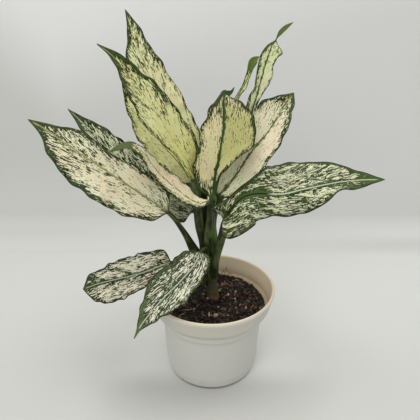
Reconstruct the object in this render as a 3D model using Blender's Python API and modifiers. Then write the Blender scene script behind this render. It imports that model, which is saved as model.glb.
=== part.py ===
"""Potted Chinese evergreen: a variegated foliage plant with thirteen leaves on one cane, in a plastic nursery pot.

The origin is the centre of the pot's underside. +Z is up and -Y is the front.
Sizes below are in millimetres and become metres when a mesh is made.
"""

import math

import bpy
import numpy as np
from mathutils import noise

MM = 0.001
GAP = 0.3

POT_HEIGHT = 100.0
POT_LIP_RADIUS = 69.0
POT_COLLAR_RADIUS = 64.5
POT_COLLAR_BOTTOM = 79.0
POT_NECK_RADIUS = 57.0
POT_NECK_TOP = 72.0
POT_BODY_RADIUS = 54.5
POT_FOOT_RADIUS = 50.0
POT_WALL = 2.2
POT_LIP_WIDTH = 3.2
POT_FLOOR = 2.4
POT_SIDES = 52
DRAIN_RING_RADIUS = 33.0
DRAIN_RADIUS = 4.0
DRAIN_COUNT = 6

SOIL_LEVEL = 77.5
SOIL_MOUND = 2.5
SOIL_RELIEF = 1.6
SOIL_SIDES = 40
SOIL_RINGS = 9

CANE_FOOT = 42.0
CANE_TOP = 152.0
CANE_HOLE_RADIUS = 7.6
CANE_POINTS = [(1.5, 8.0, 42.0), (1.5, 8.0, 80.0), (0.8, 8.0, 100.0), (0.0, 8.0, 120.0),
               (-2.2, 7.6, 138.0), (-4.0, 7.5, 152.0)]
CANE_SCAR_STEP = 7.5
CANE_SCAR_HEIGHT = 0.4

BLADE_THICKNESS = 0.8
RIB_THICKNESS = 1.9
RIB_REACH = 2.2
STALK_STATIONS = 6
BLADE_STATIONS = 22
STALK_ANGLES = np.radians([-78.0, -50.0, -24.0, 0.0, 24.0, 50.0, 78.0])
HALF_WIDTH_AT = np.array([0.0, 0.25, 0.5, 0.75, 0.92, 1.0])
TIP_HALF_WIDTH = 0.4


def clear_scene():
    """Empty the scene of every object."""
    for item in list(bpy.data.objects):
        bpy.data.objects.remove(item, do_unlink=True)


def new_collection(name):
    """Make a collection in the scene."""
    collection = bpy.data.collections.new(name)
    bpy.context.scene.collection.children.link(collection)
    return collection


def material(name, colour, roughness):
    """Make a plain Principled material."""
    made = bpy.data.materials.new(name)
    made.use_nodes = True
    shader = made.node_tree.nodes["Principled BSDF"]
    shader.inputs["Base Color"].default_value = (*colour, 1.0)
    shader.inputs["Roughness"].default_value = roughness
    shader.inputs["Metallic"].default_value = 0.0
    return made


def object_from_faces(name, points, faces, collection, finish):
    """Make a mesh object from points in millimetres and its faces."""
    mesh = bpy.data.meshes.new(name)
    mesh.from_pydata([tuple(point) for point in np.asarray(points) * MM], [], faces)
    mesh.materials.append(finish)
    made = bpy.data.objects.new(name, mesh)
    collection.objects.link(made)
    return made


def through(stations, values, u):
    """Cubic curve through the values at the stations, with each slope taken from its neighbours."""
    values = np.asarray(values, float)
    slopes = np.gradient(values, stations, axis=0)
    span = np.clip(np.searchsorted(stations, u, side="right") - 1, 0, len(stations) - 2)
    step = stations[span + 1] - stations[span]
    t = (u - stations[span]) / step
    if values.ndim > 1:
        step = step[:, None]
        t = t[:, None]
    start = (2 * t**3 - 3 * t**2 + 1) * values[span] + (t**3 - 2 * t**2 + t) * step * slopes[span]
    end = (3 * t**2 - 2 * t**3) * values[span + 1] + (t**3 - t**2) * step * slopes[span + 1]
    return start + end


def along(values, u):
    """Values given at even steps from the blade's base to its tip, read at u."""
    values = np.asarray(values, float)
    if len(values) == 1:
        return np.full(len(u), values[0])
    return through(np.linspace(0.0, 1.0, len(values)), values, np.clip(u, 0.0, 1.0))


def cane_axis(height):
    """Centre of the cane at a height."""
    points = np.array(CANE_POINTS)
    return through(points[:, 2], points, np.array([height]))[0]


def cane_radius(height):
    """Radius of the cane, which is thickest in the soil and slimmest at the top."""
    return float(np.interp(height, [80.0, 96.0, 120.0, CANE_TOP], [7.0, 5.2, 4.6, 3.4]))


def seat(height, azimuth, stalk):
    """Foot of a leaf stalk of the given radius, just clear of the cane."""
    reach = cane_radius(height) + GAP + stalk
    angle = math.radians(azimuth)
    return cane_axis(height) + reach * np.array([math.cos(angle), math.sin(angle), 0.0])


def turned(name, profile, sides, collection, finish):
    """Turn a profile of (radius, height) about the Z axis with a Screw modifier."""
    mesh = bpy.data.meshes.new(name)
    mesh.from_pydata([(r * MM, 0.0, z * MM) for r, z in profile], [(k, k + 1) for k in range(len(profile) - 1)], [])
    mesh.materials.append(finish)
    made = bpy.data.objects.new(name, mesh)
    collection.objects.link(made)
    screw = made.modifiers.new("Turn", "SCREW")
    screw.steps = sides
    screw.render_steps = sides
    screw.use_merge_vertices = True
    screw.merge_threshold = 0.00001
    screw.use_smooth_shade = True
    return made


def baked(item):
    """Replace an object's mesh by its evaluated mesh, with its modifiers applied."""
    graph = bpy.context.evaluated_depsgraph_get()
    mesh = bpy.data.meshes.new_from_object(item.evaluated_get(graph))
    item.modifiers.clear()
    item.data = mesh
    return item


def cutter(name, radius, bottom, top, place, collection):
    """Upright cylinder that cuts a hole."""
    bpy.ops.mesh.primitive_cylinder_add(vertices=24, radius=radius * MM, depth=(top - bottom) * MM,
                                        location=(place[0] * MM, place[1] * MM, (top + bottom) / 2 * MM))
    made = bpy.context.object
    made.name = name
    made.hide_render = True
    made.display_type = "WIRE"
    for old in list(made.users_collection):
        old.objects.unlink(made)
    collection.objects.link(made)
    return made


def cut(item, cutters):
    """Cut an object by each cutter in turn."""
    for tool in cutters:
        hole = item.modifiers.new("Cut " + tool.name, "BOOLEAN")
        hole.operation = "DIFFERENCE"
        hole.solver = "EXACT"
        hole.object = tool


def pot_inner_radius(height):
    """Inner radius of the pot's wall at a height."""
    heights = [0.0, 12.0, 60.0, POT_NECK_TOP, POT_COLLAR_BOTTOM, POT_HEIGHT - 4.0, POT_HEIGHT]
    outer = [POT_FOOT_RADIUS, 52.5, POT_BODY_RADIUS, POT_NECK_RADIUS, POT_COLLAR_RADIUS,
             POT_LIP_RADIUS - 0.8, POT_LIP_RADIUS - 0.6]
    return float(np.interp(height, heights, outer)) - POT_WALL


def make_pot(collection, tools, finish):
    """Tapered pot with a deep collar, a rounded lip and drain holes in its flat floor."""
    lip = POT_LIP_RADIUS
    inside = [(0.0, POT_FLOOR), (pot_inner_radius(0.0) - 2.0, POT_FLOOR)]
    inside += [(pot_inner_radius(z), z) for z in (POT_FLOOR + 3.0, 60.0, POT_NECK_TOP, POT_COLLAR_BOTTOM)]
    inside += [(lip - POT_LIP_WIDTH - 0.6, POT_HEIGHT - 5.0), (lip - POT_LIP_WIDTH, POT_HEIGHT - 1.2)]
    edge = [(lip - POT_LIP_WIDTH + 1.0, POT_HEIGHT), (lip - 1.1, POT_HEIGHT), (lip, POT_HEIGHT - 1.2)]
    outside = [(lip - 0.2, POT_HEIGHT - 4.0), (lip - 1.2, POT_HEIGHT - 5.5), (POT_COLLAR_RADIUS, POT_COLLAR_BOTTOM + 1.5),
               (POT_COLLAR_RADIUS - 1.2, POT_COLLAR_BOTTOM), (POT_NECK_RADIUS + 0.8, POT_NECK_TOP),
               (POT_NECK_RADIUS - 0.6, POT_NECK_TOP - 2.0), (POT_BODY_RADIUS, 60.0), (52.5, 12.0),
               (POT_FOOT_RADIUS + 0.9, 2.6), (POT_FOOT_RADIUS - 1.6, 0.0), (0.0, 0.0)]
    pot = turned("pot", inside + edge + outside, POT_SIDES, collection, finish)
    drains = []
    for k in range(DRAIN_COUNT):
        angle = 2 * math.pi * (k + 0.5) / DRAIN_COUNT
        place = (DRAIN_RING_RADIUS * math.cos(angle), DRAIN_RING_RADIUS * math.sin(angle))
        drains.append(cutter(f"drain_cutter_{k}", DRAIN_RADIUS, -3.0, POT_FLOOR + 3.0, place, tools))
    cut(pot, drains)
    return pot


def make_soil(collection, tools, finish):
    """Potting mix that fills the pot to below its collar, mounded, with a crumbly top and a hole for the cane."""
    top_radius = pot_inner_radius(SOIL_LEVEL) - 2 * GAP
    corner = pot_inner_radius(0.0) - 2.0 - 2 * GAP
    floor = POT_FLOOR + GAP
    profile = [(top_radius * k / SOIL_RINGS, SOIL_LEVEL) for k in range(SOIL_RINGS + 1)]
    profile += [(pot_inner_radius(z) - 2 * GAP, z) for z in (POT_NECK_TOP, 60.0, POT_FLOOR + 3.0)]
    profile += [(corner, floor), (0.0, floor)]
    soil = baked(turned("soil", profile, SOIL_SIDES, collection, finish))
    for vertex in soil.data.vertices:
        x, y, z = (value / MM for value in vertex.co)
        if z > SOIL_LEVEL - 0.01:
            inward = 1.0 - min(1.0, math.hypot(x, y) / top_radius)
            crumbs = noise.noise((x * 0.16, y * 0.16, 3.0)) + 0.6 * noise.noise((x * 0.37, y * 0.37, 9.0))
            edge = min(1.0, inward * 6.0)
            z = SOIL_LEVEL + SOIL_MOUND * (1.0 - (1.0 - inward) ** 2) + SOIL_RELIEF * crumbs * edge
            vertex.co.z = z * MM
    cut(soil, [cutter("cane_hole_cutter", CANE_HOLE_RADIUS, CANE_FOOT - GAP, 110.0, CANE_POINTS[0], tools)])
    return soil


def make_cane(collection, finish):
    """Upright cane with the raised rings that fallen leaves leave behind."""
    heights = [CANE_FOOT, 60.0, 80.0, 84.0]
    swell = [0.0, 0.0, 0.0, 0.0]
    scar = 88.0
    while scar < 122.0:
        heights += [scar - 1.6, scar, scar + 1.6]
        swell += [0.0, CANE_SCAR_HEIGHT, 0.0]
        scar += CANE_SCAR_STEP
    heights += [128.0, 136.0, 144.0, CANE_TOP]
    swell += [0.0, 0.0, 0.0, 0.0]
    curve = bpy.data.curves.new("cane", "CURVE")
    curve.dimensions = "3D"
    curve.bevel_depth = MM
    curve.bevel_resolution = 4
    curve.use_fill_caps = True
    curve.materials.append(finish)
    spline = curve.splines.new("POLY")
    spline.points.add(len(heights) - 1)
    for point, height, extra in zip(spline.points, heights, swell):
        point.co = (*(cane_axis(height) * MM), 1.0)
        point.radius = cane_radius(height) + extra
    made = bpy.data.objects.new("cane", curve)
    collection.objects.link(made)
    return made


def leaf_path(stalk, rib):
    """Points, directions and blade fractions of the sections, along one curve through stalk and midrib."""
    points = np.array([tuple(point) for point in stalk + rib], float)
    lengths = np.concatenate([[0.0], np.cumsum(np.linalg.norm(np.diff(points, axis=0), axis=1))])
    start = lengths[len(stalk)]
    blade = np.linspace(0.0, 1.0, BLADE_STATIONS) ** 1.2
    reach = np.concatenate([np.linspace(0.0, start, STALK_STATIONS, endpoint=False),
                            start + (lengths[-1] - start) * blade])
    centres = through(lengths, points, reach)
    ahead = through(lengths, points, np.minimum(reach + 0.5, lengths[-1]))
    behind = through(lengths, points, np.maximum(reach - 0.5, 0.0))
    forward = ahead - behind
    forward /= np.linalg.norm(forward, axis=1)[:, None]
    return centres, forward, (reach - start) / (lengths[-1] - start)


def leaf_frame(forward, faces, u):
    """Directions of the upper face and of the left margin at each section.

    A facing is (azimuth, elevation) in degrees: azimuth 0 looks to the front and 90 to the right.
    """
    azimuth = np.radians(along([face[0] for face in faces], u))
    elevation = np.radians(along([face[1] for face in faces], u))
    facing = np.stack([np.cos(elevation) * np.sin(azimuth), -np.cos(elevation) * np.cos(azimuth),
                       np.sin(elevation)], axis=-1)
    normal = facing - (facing * forward).sum(axis=1)[:, None] * forward
    normal /= np.linalg.norm(normal, axis=1)[:, None]
    return normal, np.cross(normal, forward)


def base_rounding(u):
    """Quarter circle that rises from 0 at the blade's base to 1 a tenth of the way along it."""
    return np.sqrt(1.0 - (1.0 - np.clip(u / 0.10, 0.0, 1.0)) ** 2)


def half_width(widths, u):
    """Half width of one side: a curve through the given widths, rounded off at the blade's base.

    Five widths stand at the stations in HALF_WIDTH_AT, and more of them at even steps.
    """
    stations = HALF_WIDTH_AT if len(widths) == 5 else np.linspace(0.0, 1.0, len(widths) + 1)
    width = through(stations, list(widths) + [TIP_HALF_WIDTH], np.clip(u, 0.0, 1.0))
    return np.maximum(width * base_rounding(u), TIP_HALF_WIDTH)


def grow_leaf(name, stalk, rib, left, right, faces, collection, finish, fold=((12,), (12,)),
              curl=((0,), (0,)), lobe=(3.0, 3.0), wave=1.6, waves=4.0, phase=0.0, stalk_radius=(2.1, 2.1)):
    """Stalk and blade as one closed skin, lofted from a round section to a thin folded one.

    stalk and rib are points from the cane to the blade's base and on to its tip. left and right are the
    half widths along it. Each half is an arc that leaves the midrib at its fold angle
    and turns by its curl angle on the way to the margin, where a wave lifts and drops it. At the base
    the margin reaches back past the stalk's end by the lobe.
    """
    centres, forward, u = leaf_path(stalk, rib)
    normal, side = leaf_frame(forward, faces, u)
    opened = np.clip((u + 0.02) / 0.10, 0.0, 1.0)
    opened = opened * opened * (3.0 - 2.0 * opened)
    round_radius = np.interp(np.arange(len(u)), [0, STALK_STATIONS], stalk_radius)
    upper = []
    lower = []
    for column, angle in enumerate(STALK_ANGLES):
        sign = np.sign(column - 3)
        half = 0 if column > 3 else 1
        width = half_width((left, right)[half], u)
        near = np.minimum(RIB_REACH / width, 0.3)
        share = (0.0 * near, near, 0.62 + 0.0 * near, 1.0 + 0.0 * near)[abs(column - 3)]
        stiff = np.clip(width / 8.0, 0.0, 1.0)
        start = np.radians(along(fold[half], u)) * stiff
        turn = np.radians(along(curl[half], u)) * stiff
        turn = np.where(np.abs(turn) < 0.001, 0.001, turn)
        slope = start + turn * share
        across = width * (np.sin(slope) - np.sin(start)) / turn
        lift = width * (np.cos(start) - np.cos(slope)) / turn
        ripple = np.sin(2 * math.pi * waves * u + phase + 2.2 * half)
        lift = lift + wave * np.clip(width / 12.0, 0.0, 1.0) * share**2 * ripple
        back = lobe[half] * share**2 * base_rounding(u) * np.clip(1.0 - u / 0.3, 0.0, 1.0) ** 2
        across = opened * across + (1.0 - opened) * round_radius * abs(math.sin(angle))
        slope = opened * slope
        skin = np.cos(slope)[:, None] * normal - sign * np.sin(slope)[:, None] * side
        skin /= np.linalg.norm(skin, axis=1)[:, None]
        middle = centres + sign * across[:, None] * side + (opened * lift)[:, None] * normal
        middle = middle - (opened * back)[:, None] * forward
        taper = np.clip(1.0 - u, 0.25, 1.0)
        rib_depth = RIB_THICKNESS * taper * np.exp(-(across / RIB_REACH) ** 2 * 1.6)
        round_half = round_radius * math.cos(angle)
        above = opened * BLADE_THICKNESS / 2 + (1.0 - opened) * round_half
        below = opened * (BLADE_THICKNESS / 2 + rib_depth) + (1.0 - opened) * round_half
        upper.append(middle + above[:, None] * skin)
        lower.append(middle - below[:, None] * skin)
    points = np.stack(upper + lower[::-1], axis=1)
    sections, around, _ = points.shape
    columns = len(STALK_ANGLES)
    skin_faces = []
    for row in range(sections - 1):
        for k in range(around):
            a, b = row * around + k, row * around + (k + 1) % around
            c, d = b + around, a + around
            skin_faces += [(a, c, b), (a, d, c)] if k < columns else [(a, d, b), (b, d, c)]
    last = (sections - 1) * around
    for k in range(columns - 1):
        a, b, c, d = k, k + 1, around - 2 - k, around - 1 - k
        skin_faces += [(a, b, c), (a, c, d)]
        skin_faces += [(last + a, last + c, last + b), (last + a, last + d, last + c)]
    made = object_from_faces(name, points.reshape(-1, 3), skin_faces, collection, finish)
    made.data.shade_smooth()
    return made


def grow_leaves(collection, young, mature):
    """The thirteen leaves, from the lowest on the cane to the youngest at its tip."""
    grow_leaf("leaf_low_left", collection=collection, finish=mature,
              stalk=[seat(96, -172, 2.3), seat(99, -172, 2.6), (-16, 4, 110), (-29, -7, 131)],
              rib=[(-42, -15, 137), (-57, -18, 133), (-71, -20, 128), (-98, -23, 122), (-118, -26, 118),
                   (-133, -28, 113)],
              left=(13, 15, 21, 23, 14), right=(15, 20, 20, 15, 9),
              faces=((10, 56), (11, 42), (10, 40)), fold=((14,), (4,)), lobe=(4, 6), waves=3.0, phase=0.6,
              stalk_radius=(2.2, 1.9))
    grow_leaf("leaf_low_front", collection=collection, finish=mature,
              stalk=[seat(106, -122, 2.3), seat(111, -122, 2.5), (-4, -8, 136), (-5, -14, 150), (-7, -21, 157)],
              rib=[(-11, -29, 157), (-17, -37, 148), (-31, -46, 134), (-47, -57, 122), (-61, -69, 110),
                   (-69, -77, 101), (-73, -81, 94)],
              left=(14, 19, 19, 11, 2), right=(16, 20, 22, 11, 2),
              faces=((-30, 50), (-16, 33), (-25, 36)), fold=((14,), (8,)), lobe=(9, 5), waves=3.0, phase=2.0,
              stalk_radius=(2.2, 1.9))
    grow_leaf("leaf_right_broad", collection=collection, finish=mature,
              stalk=[seat(112, -76, 3.7), (4, -6, 136), (9, -11, 160)],
              rib=[(14, -14, 183), (17, -21, 196), (22, -24, 206), (30, -26, 214.5), (41, -27, 218), (54, -26, 217.5),
                   (68, -24, 217), (83, -22, 220), (102, -20, 223.5), (121, -18, 226.5), (141, -18, 228.5),
                   (163, -18, 229)],
              left=(28, 20, 10, 12, 24, 34, 42, 41, 32, 22, 13, 6),
              right=(30, 28, 30, 26, 25, 22.5, 23.5, 21.5, 17, 12.5, 11, 5.5),
              faces=((-44, 51), (-5, 32), (-1, 42), (-1, 48), (0, 31)),
              fold=((46, 20, -27, -5, 2), (56, 10, -12, 20, 1)), curl=((0,), (-37, -42, -36, 10, -3)),
              lobe=(8, 9), waves=4.0, phase=1.0, stalk_radius=(3.6, 3.2))
    grow_leaf("leaf_left_broad", collection=collection, finish=mature,
              stalk=[seat(118, -165, 4.0), (-18, -2, 142), (-29, -14, 173)],
              rib=[(-42, -25, 198), (-54, -26, 208), (-76, -27, 225), (-102, -28, 245), (-128, -27, 264),
                   (-149, -26, 280), (-161, -25, 287)],
              left=(14, 28, 30, 21, 5), right=(18, 20, 17, 17, 4),
              faces=((14, 44), (13, 39), (10, 39)), fold=((10,), (2,)), lobe=(2, 3), waves=3.0, phase=0.0,
              stalk_radius=(4.0, 2.6))
    grow_leaf("leaf_left_rear", collection=collection, finish=mature,
              stalk=[seat(126, 128, 2.1), (-10, 17, 146), (-13, 24, 164)],
              rib=[(-19, 27, 176), (-39, 25, 192), (-65, 27, 210), (-91, 31, 229), (-111, 35, 247),
                   (-124, 38, 262), (-136, 41, 273), (-148, 44, 284)],
              left=(26, 27, 25, 16, 4), right=(20, 23, 19, 14, 4),
              faces=((8, 44), (14, 48), (8, 38)), fold=((25,), (7,)), waves=4.0, phase=1.5)
    grow_leaf("leaf_left_curled", collection=collection, finish=young,
              stalk=[seat(134, -78, 2.3), (-4, -2, 154), (-3, -6, 176), (-2, -10, 193)],
              rib=[(-3, -13, 203), (-12, -16, 204), (-31, -20, 218), (-50, -25, 239), (-57, -30, 252),
                   (-63, -36, 263), (-71, -41, 269), (-79, -46, 268), (-88, -51, 264)],
              left=(7, 11, 11, 8, 3), right=(8, 15, 11, 5, 2),
              faces=((10, 62), (4, 66), (0, 48)), fold=((0,), (0,)), lobe=(1, 1), wave=0.8, waves=3.0,
              stalk_radius=(2.3, 2.5))
    grow_leaf("leaf_behind_upper_left", collection=collection, finish=young,
              stalk=[seat(130, 166, 2.1), (-12, 9, 165), (-17, 10, 195)],
              rib=[(-21, 11, 214), (-32, 14, 233), (-47, 16, 251), (-63, 18, 276), (-76, 20, 298), (-86, 22, 318)],
              left=(14, 21, 23, 15, 5), right=(9, 12, 13, 10, 4),
              faces=((30, 37), (20, 34), (18, 35)), fold=((22,), (6,)), waves=4.0, phase=2.5)
    grow_leaf("leaf_upper_left", collection=collection, finish=young,
              stalk=[seat(137, -150, 2.9), (-9, 2.5, 151), (-13, 0, 172), (-15, 0, 194)],
              rib=[(-17, 3, 221), (-25, 1, 243), (-38, 0, 264), (-50, -2, 287), (-71, -5, 318), (-86, -8, 338),
                   (-98, -10, 348)],
              left=(12, 14, 25, 16, 2), right=(10, 21, 18, 12, 4),
              faces=((34, 42), (18, 34), (26, 36)), fold=((30,), (6,)), wave=1.2, waves=3.0, phase=1.0,
              stalk_radius=(2.7, 4.2))
    grow_leaf("leaf_right_upper", collection=collection, finish=young,
              stalk=[seat(141, 5, 2.2), (3, 8.3, 155), (1, 9, 168), (2, 10.5, 183)],
              rib=[(8, 12, 200), (22, 18, 217), (42, 25, 246), (57, 35, 261), (74, 49, 284), (86, 60, 298)],
              left=(16, 25, 24, 24, 10), right=(14, 22, 21, 15, 7),
              faces=((-18, 33), (-14, 33), (-11, 33)), fold=((24,), (12,)), wave=1.2, waves=3.0)
    grow_leaf("leaf_top_left", collection=collection, finish=young,
              stalk=[seat(139, 100, 2.1), (-7, 15, 168), (-8, 20, 195)],
              rib=[(-9, 24, 217), (-28, 36, 249), (-51, 49, 287), (-68, 58, 325), (-80, 64, 356), (-86, 68, 377)],
              left=(15, 26, 26, 17, 3), right=(18, 21, 22, 14, 7),
              faces=((20, 25), (17, 24), (16, 25)), fold=((12,), (12,)), wave=1.4, waves=4.0, phase=0.5)
    grow_leaf("leaf_centre", collection=collection, finish=young,
              stalk=[seat(143, -44, 2.3), (0, 3, 160), (-1, 2, 186)],
              rib=[(1, -1, 204), (2, 1, 215.5), (3.5, 3.5, 226.5), (6, 6, 238), (8, 10, 250), (10, 14, 262),
                   (11.5, 20, 275.5), (12, 27, 288), (12, 33, 296.5), (13, 39, 299.5), (16, 45, 299.5), (20, 50, 300.5),
                   (23, 53, 304.5)],
              left=(18, 17.5, 25, 24, 23, 24, 19.5, 15, 6, 3), right=(3, 4, 8, 18, 29, 33, 30.5, 25, 12, 4),
              faces=((1, 10), (2, 8), (14, 20)), fold=((18,), (62, 45, 15, 10, 10)), wave=1.2, waves=3.0,
              phase=1.2, stalk_radius=(2.1, 2.7))
    grow_leaf("leaf_second_youngest", collection=collection, finish=young,
              stalk=[seat(147, 52, 2.0), (2, 20, 182), (9, 31, 225), (13, 39, 257)],
              rib=[(17.5, 44, 272.5), (22, 48, 284), (26, 52, 293.5), (30.5, 56, 301), (35.5, 60, 309),
                   (38.5, 63, 316.5), (40.5, 66, 324), (44, 70, 330), (49.5, 73, 333)],
              left=(3, 3, 3, 2, 2, 3, 3, 4), right=(3, 3, 2.5, 2, 3.5, 2, 3, 5),
              faces=((10, 25), (8, 25), (-6, 25)), fold=((24,), (24,)), lobe=(0, 0), wave=0.4, waves=3.0,
              stalk_radius=(2.0, 1.9))
    grow_leaf("leaf_youngest", collection=collection, finish=young,
              stalk=[(-4, 7.7, 153.3), (-3, 12, 168), (0, 15.5, 184), (13, 26, 222), (24, 37, 248)],
              rib=[(36.5, 45, 270.5), (41.5, 48, 280), (45.5, 51, 294), (48.5, 54, 304.5), (51, 56, 314),
                   (54.5, 60, 326.5), (57.5, 63, 335), (61, 66, 342.5), (66, 70, 350), (69.5, 72, 355.5),
                   (75, 75, 360.5), (83, 78, 365.5)],
              left=(6, 8, 8.5, 8, 5, 6, 7, 8, 7.5, 5, 0.8, 2.2, 2.2),
              right=(2, 2, 3, 4.5, 7, 9.5, 10.5, 8.5, 10, 12.5, 1, 2.2, 2.2),
              faces=((10, 25), (6, 25), (10, 25)), fold=((16,), (8,)), lobe=(0, 0), wave=0.6, waves=5.0,
              stalk_radius=(1.9, 2.0))


def build():
    """Make every piece."""
    clear_scene()
    parts = new_collection("Potted_Chinese_Evergreen")
    tools = new_collection("Cutters")
    plastic = material("Pot_plastic", (0.80, 0.80, 0.77), 0.45)
    earth = material("Potting_mix", (0.045, 0.028, 0.022), 0.95)
    bark = material("Green_cane", (0.12, 0.15, 0.06), 0.55)
    young = material("Young_leaf", (0.62, 0.66, 0.38), 0.38)
    mature = material("Mature_leaf", (0.55, 0.58, 0.46), 0.38)
    make_pot(parts, tools, plastic)
    make_soil(parts, tools, earth)
    make_cane(parts, bark)
    grow_leaves(parts, young, mature)


build()
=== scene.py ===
"""Looks of a potted Chinese evergreen: thirteen flecked leaves on one cane, in a plastic nursery pot.

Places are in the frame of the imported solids: the origin is the centre of the pot's underside, +Z is up and
-Y is the front. Sizes are in millimetres and become metres when a mesh is made. Materials read metres.
"""

import math

import bpy
import numpy as np
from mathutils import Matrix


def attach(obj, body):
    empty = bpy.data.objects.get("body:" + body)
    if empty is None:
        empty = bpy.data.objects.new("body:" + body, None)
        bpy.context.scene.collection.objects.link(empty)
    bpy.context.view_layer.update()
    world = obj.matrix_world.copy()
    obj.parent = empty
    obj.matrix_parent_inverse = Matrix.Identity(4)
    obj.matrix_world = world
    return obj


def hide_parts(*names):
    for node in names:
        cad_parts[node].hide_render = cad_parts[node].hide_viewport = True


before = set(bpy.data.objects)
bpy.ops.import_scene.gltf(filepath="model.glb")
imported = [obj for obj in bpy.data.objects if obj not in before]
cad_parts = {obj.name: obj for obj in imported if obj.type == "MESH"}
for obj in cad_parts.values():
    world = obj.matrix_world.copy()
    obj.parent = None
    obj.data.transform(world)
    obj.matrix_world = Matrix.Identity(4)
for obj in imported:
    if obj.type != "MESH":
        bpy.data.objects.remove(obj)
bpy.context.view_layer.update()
scene = bpy.context.scene
MM = 0.001

# The camera looks slightly down on the plant from the front, as someone who stands at a low table.
# Its lens takes in 53 degrees.
camera_data = bpy.data.cameras.new("Camera")
camera_data.lens = 36.0
camera_data.sensor_width = 36.0
camera = bpy.data.objects.new("Camera", camera_data)
camera.location = (-0.002, -0.393, 0.360)
camera.rotation_euler = (math.radians(90.0 - 23.4), 0.0, 0.0)
scene.collection.objects.link(camera)
scene.camera = camera
scene.view_settings.view_transform = "Standard"

# The studio: one pale matt sheet that lies flat under the pot and is swept up into a wall behind it.
# Seen from behind, the wall lets the view through. A wide soft lamp hangs overhead, and the room is pale.
# Light and shade are painted into the sheet's colour: it is a little darker to the left, paler near
# the pot and high up on the left, and has a painted shadow in front of the pot.
SWEEP_HALF_WIDTH = 2400.0
SWEEP_FRONT = -2400.0
SWEEP_BACK = 305.0
SWEEP_RADIUS = 50.0
SWEEP_HEIGHT = 1600.0


class Value:
    """Output of a shader node. Plus, minus and times on it add Math nodes to its tree."""

    def __init__(self, socket):
        self.socket = socket
        self.tree = socket.id_data

    def __add__(self, other):
        return figure("ADD", self, other)

    def __sub__(self, other):
        return figure("SUBTRACT", self, other)

    def __mul__(self, other):
        return figure("MULTIPLY", self, other)

    __radd__ = __add__
    __rmul__ = __mul__


def put(value, socket):
    """Link a value to a socket, or set the socket to a plain number or colour."""
    if isinstance(value, Value):
        value.tree.links.new(value.socket, socket)
    elif socket.type == "RGBA":
        socket.default_value = (*value, 1.0)
    else:
        socket.default_value = value


def node(tree, kind, inputs, **settings):
    """Outputs of a new node with the given settings, and with values put into its inputs."""
    made = tree.nodes.new("ShaderNode" + kind)
    for name, value in settings.items():
        setattr(made, name, value)
    for place, value in inputs.items():
        put(value, made.inputs[place])
    return [Value(socket) for socket in made.outputs]


def figure(operation, first, *others):
    """Result of a Math node. The first operand is a value, the others may be plain numbers."""
    return node(first.tree, "Math", dict(enumerate((first, *others))), operation=operation)[0]


def between(value, low, high):
    """0 below low, 1 above high and a smooth rise between them. low may be the higher one."""
    return node(value.tree, "MapRange", {0: value, 1: low, 2: high}, interpolation_type="SMOOTHSTEP")[0]


def blend(share, first, second):
    """Colour that goes from the first to the second as the share goes from 0 to 1."""
    return node(share.tree, "Mix", {0: share, 6: first, 7: second}, data_type="RGBA")[2]


def new_material(name, roughness):
    """Material with one Principled shader, its node tree and that shader."""
    made = bpy.data.materials.new(name)
    made.use_nodes = True
    shader = made.node_tree.nodes["Principled BSDF"]
    shader.inputs["Roughness"].default_value = roughness
    return made, made.node_tree, shader


def object_place(tree):
    """Object coordinates, in metres, and their three parts."""
    place = node(tree, "TexCoord", {})[3]
    return [place] + node(tree, "SeparateXYZ", {0: place})


def stacked(*parts):
    """Array with the parts side by side in its last axis, each spread out to the shape they share."""
    return np.stack(np.broadcast_arrays(*parts), axis=-1)


def mesh_object(name, points, faces, finish):
    """Smooth object of the given points, in millimetres, and faces."""
    mesh = bpy.data.meshes.new(name)
    mesh.from_pydata((points * MM).tolist(), [], faces)
    mesh.materials.append(finish)
    mesh.shade_smooth()
    made = bpy.data.objects.new(name, mesh)
    scene.collection.objects.link(made)
    return made


def grid_faces(rows, columns, ring=False):
    """One quad between each four neighbours of a grid. With ring, the end of a row joins its start."""
    number = np.arange(rows * columns).reshape(rows, columns)
    after = np.roll(number, -1, axis=1) if ring else number[:, 1:]
    here = number if ring else number[:, :-1]
    return stacked(here[:-1], here[1:], after[1:], after[:-1]).reshape(-1, 4)


def grid_object(name, points, finish, ring=False):
    """Object over a grid of points, rows by columns.

    With ring, each row is a closed ring, and the first and the last one are filled by strips between
    the two halves of the ring.
    """
    rows, columns = points.shape[:2]
    faces = grid_faces(rows, columns, ring)
    if ring:
        k = np.arange(columns // 2 - 1)
        end = stacked(k, k + 1, columns - 2 - k, columns - 1 - k)
        faces = np.concatenate([faces, end, end[:, ::-1] + (rows - 1) * columns])
    return mesh_object(name, points.reshape(-1, 3), faces.tolist(), finish)


sheet_finish, sheet_tree, sheet_shader = new_material("Studio_sheet", 0.85)
_, across, back, height = object_place(sheet_tree)
# Painted light and shade: the sheet is darker to the left and towards the front, darker where it curves up on
# the right, and lighter in a band low on the wall.
floor_side = between(across, -0.30, 0.15)
sheet_near = blend(floor_side, (0.612, 0.612, 0.585), (0.605, 0.605, 0.575))
sheet_far = blend(floor_side, (0.665, 0.665, 0.64), (0.70, 0.70, 0.675))
sheet_floor = blend(between(back, -0.12, 0.20), sheet_near, sheet_far)
sheet_curve = blend(between(across, 0.16, 0.36), (0.625, 0.625, 0.60), (0.56, 0.56, 0.54))
sheet_floor = blend(between(back, 0.235, 0.285), sheet_floor, sheet_curve)
wall_side = between(across, -0.38, 0.10)
sheet_wall = blend(wall_side, (0.575, 0.575, 0.55), (0.665, 0.665, 0.645))
sheet_low = blend(wall_side, (0.625, 0.625, 0.60), (0.705, 0.705, 0.685))
painted_light_band = between(height, 0.18, 0.06) * between(height, 0.012, 0.045) * between(across, 0.36, 0.22)
sheet_wall = blend(painted_light_band, sheet_wall, sheet_low)
sheet_base = blend(between(height, 0.0, 0.018), sheet_floor, sheet_wall)
pot_distance = figure("SQRT", across * across + back * back)
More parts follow.
